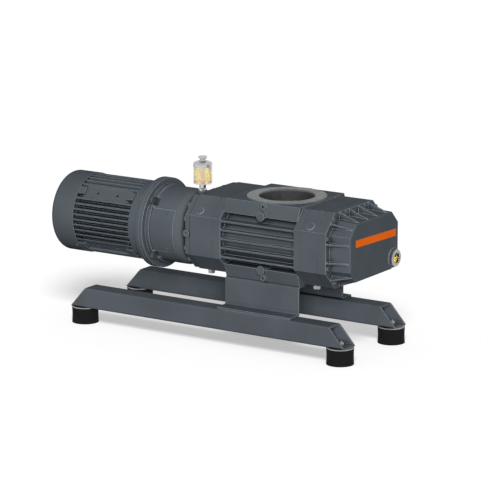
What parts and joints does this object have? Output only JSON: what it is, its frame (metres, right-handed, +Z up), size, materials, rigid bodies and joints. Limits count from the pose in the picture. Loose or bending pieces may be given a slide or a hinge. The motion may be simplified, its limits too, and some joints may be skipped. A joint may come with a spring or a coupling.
{
  "type": "roots vacuum pump",
  "caption": "Roots vacuum pump on a rail frame with rubber feet: finned cylinder, lobed rotors, ribbed gear cover, flange motor, top inlet and glass oiler.",
  "frame": {"origin": "on the floor at the centre of the four feet's threaded holes", "axes": "+X along the shafts from the motor to the gear cover, +Y to the side away from the motor's axis, +Z up"},
  "size_m": [0.9645, 0.3485, 0.4963],
  "materials": {
    "housing_paint": "blue-grey enamel over cast iron, satin",
    "motor_paint": "blue-grey enamel over die-cast aluminium, satin",
    "frame_paint": "blue-grey enamel over welded steel tube and plate, satin",
    "zinc_steel": "zinc-plated fasteners",
    "machined_steel": "machined and ground steel",
    "cast_rotor": "machined ductile iron",
    "chrome_metal": "polished plated metal",
    "satin_metal": "satin turned aluminium",
    "buffer_rubber": "black moulded rubber",
    "seal_rubber": "dark fluoro rubber",
    "spider_plastic": "red polyurethane",
    "fan_plastic": "black moulded plastic",
    "gland_plastic": "dark moulded plastic",
    "copper_winding": "enamelled copper wire",
    "electrical_steel": "laminated sheet steel",
    "clear_glass": "clear glass",
    "yellow_oil": "clear yellow oil"
  },
  "bodies": {
    "pump_stand": {"foot_buffers": "buffer_rubber", "foot_inserts": "machined_steel", "foot_plates": "zinc_steel", "foot_nuts": "zinc_steel", "near_rail": "frame_paint", "far_rail": "frame_paint", "near_pedestal": "frame_paint", "far_pedestal": "frame_paint", "frame_bolts": "zinc_steel", "cylinder_housing": "housing_paint", "drive_side_housing": "housing_paint", "gear_side_housing": "housing_paint", "gear_cover": "housing_paint", "cover_bolts": "zinc_steel", "sight_glass_ring": "chrome_metal", "sight_glass_pane": "clear_glass", "drain_plugs": "zinc_steel", "seal_cover": "housing_paint", "seal_side_bolts": "zinc_steel", "shaft_seal": "seal_rubber", "lantern": "housing_paint", "coupling_guards": "housing_paint", "bearing_outer_rings": "machined_steel", "chamber_seals": "cast_rotor", "motor_frame": "motor_paint", "motor_front_shield": "motor_paint", "motor_rear_shield": "motor_paint", "motor_flange_bolts": "zinc_steel", "stator_core": "electrical_steel", "stator_windings": "copper_winding", "motor_bearing_outers": "machined_steel", "fan_cover": "motor_paint", "terminal_box": "motor_paint", "terminal_box_lid": "motor_paint", "cable_gland": "gland_plastic", "oiler_stem": "chrome_metal", "oiler_glass": "clear_glass", "oiler_oil": "yellow_oil", "oiler_tube": "machined_steel", "oiler_cap": "satin_metal"},
    "motor_rotor": {"motor_shaft": "machined_steel", "motor_rotor_core": "electrical_steel", "motor_bearing_inners": "machined_steel", "motor_fan": "fan_plastic", "motor_coupling_hub": "machined_steel", "coupling_spider": "spider_plastic"},
    "drive_shaft_set": {"drive_shaft": "machined_steel", "drive_rotor": "cast_rotor", "drive_timing_gear": "machined_steel", "drive_lock_nut": "machined_steel", "drive_bearing_cores": "machined_steel", "pump_coupling_hub": "machined_steel"},
    "driven_shaft_set": {"driven_shaft": "machined_steel", "driven_rotor": "cast_rotor", "driven_timing_gear": "machined_steel", "driven_lock_nut": "machined_steel", "driven_bearing_cores": "machined_steel", "oil_slinger": "machined_steel"},
    "flow_knob": {"oiler_knob": "satin_metal"}
  },
  "joints": [
    {"name": "motor_spin", "type": "hinge", "parent": "pump_stand", "child": "motor_rotor", "pos_m": [-0.342, -0.052, 0.295], "axis": [1, 0, 0], "continuous": true},
    {"name": "drive_spin", "type": "hinge", "parent": "pump_stand", "child": "drive_shaft_set", "pos_m": [0.157, -0.052, 0.295], "axis": [1, 0, 0], "continuous": true},
    {"name": "driven_spin", "type": "hinge", "parent": "pump_stand", "child": "driven_shaft_set", "pos_m": [0.157, 0.052, 0.295], "axis": [1, 0, 0], "continuous": true},
    {"name": "knob_turn", "type": "hinge", "parent": "pump_stand", "child": "flow_knob", "pos_m": [-0.07, -0.06, 0.49], "axis": [0, 0, 1], "range_deg": [0, 270]}
  ],
  "couplings": [
    {"joint": "motor_spin", "follows": "drive_spin", "ratio": 1},
    {"joint": "driven_spin", "follows": "drive_spin", "ratio": -1}
  ]
}
